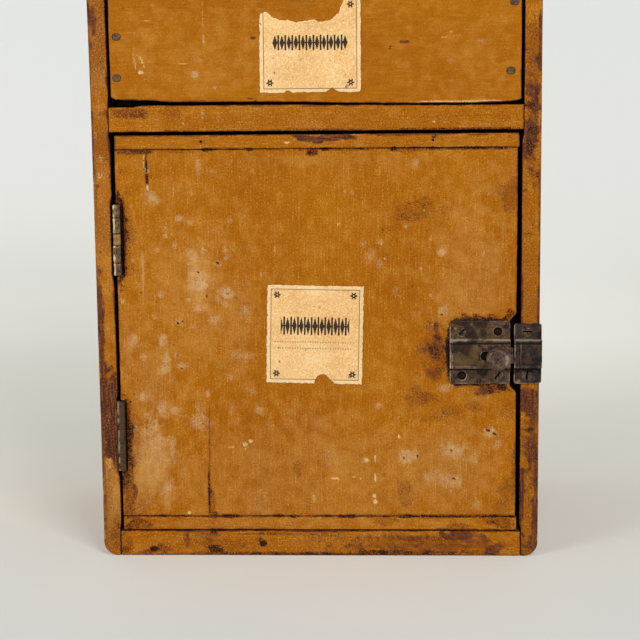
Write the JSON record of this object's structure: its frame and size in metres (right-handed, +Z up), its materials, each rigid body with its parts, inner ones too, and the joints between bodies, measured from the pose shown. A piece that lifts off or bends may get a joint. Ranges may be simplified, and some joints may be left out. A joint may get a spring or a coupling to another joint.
{
  "type": "apothecary cupboard",
  "caption": "Small painted wooden cupboard with a drawer above a clamp-ended door on butt hinges, held shut by a surface slide bolt; stores jars, packets and bulk goods.",
  "frame": {"origin": "middle of the carcass footprint, on the floor", "axes": "+Z up, front faces -Y, +X to the right seen from the front"},
  "size_m": [0.332, 0.265, 0.544],
  "materials": {
    "painted_wood": "old ochre oil paint on softwood, worn to reddish wood at the edges",
    "bare_wood": "unpainted planed softwood, darkened with age",
    "hinge_iron": "old wrought iron with paint and rust",
    "latch_metal": "pressed iron, bronzed and worn",
    "nail_iron": "rusted cut iron",
    "label_paper": "aged printed paper, foxed and torn"
  },
  "bodies": {
    "carcass": {"left_side": "painted_wood", "right_side": "painted_wood", "bottom_board": "painted_wood", "middle_shelf": "painted_wood", "top_board": "painted_wood", "back_board_1": "bare_wood", "back_board_2": "bare_wood", "back_board_3": "bare_wood", "door_stop": "bare_wood", "carcass_nails": "nail_iron", "back_nails": "nail_iron", "upper_hinge_frame_leaf": "hinge_iron", "lower_hinge_frame_leaf": "hinge_iron", "upper_hinge_pin": "hinge_iron", "lower_hinge_pin": "hinge_iron", "hinge_frame_screws": "hinge_iron", "keeper": "latch_metal", "keeper_screws": "latch_metal"},
    "door": {"door_board_narrow": "painted_wood", "door_board_wide": "painted_wood", "door_top_clamp": "painted_wood", "door_bottom_clamp": "painted_wood", "door_brads": "nail_iron", "door_label": "label_paper", "upper_hinge_door_leaf": "hinge_iron", "lower_hinge_door_leaf": "hinge_iron", "hinge_door_screws": "hinge_iron", "latch_case": "latch_metal", "latch_case_screws": "latch_metal"},
    "latch_bolt": {"latch_bolt": "latch_metal", "latch_knob": "latch_metal"},
    "drawer": {"drawer_front": "painted_wood", "drawer_left_side": "bare_wood", "drawer_right_side": "bare_wood", "drawer_back": "bare_wood", "drawer_bottom": "bare_wood", "drawer_nails": "nail_iron", "drawer_knob": "painted_wood", "drawer_label": "label_paper"}
  },
  "joints": [
    {"name": "drawer_slide", "type": "slide", "parent": "carcass", "child": "drawer", "axis": [0, -1, 0], "range_m": [0, 0.18]},
    {"name": "door_hinge", "type": "hinge", "parent": "carcass", "child": "door", "pos_m": [-0.1422, -0.121, 0.1602], "axis": [0, 0, -1], "range_deg": [0, 175]},
    {"name": "latch_slide", "type": "slide", "parent": "door", "child": "latch_bolt", "axis": [1, 0, 0], "range_m": [-0.008, 0.0042]}
  ]
}
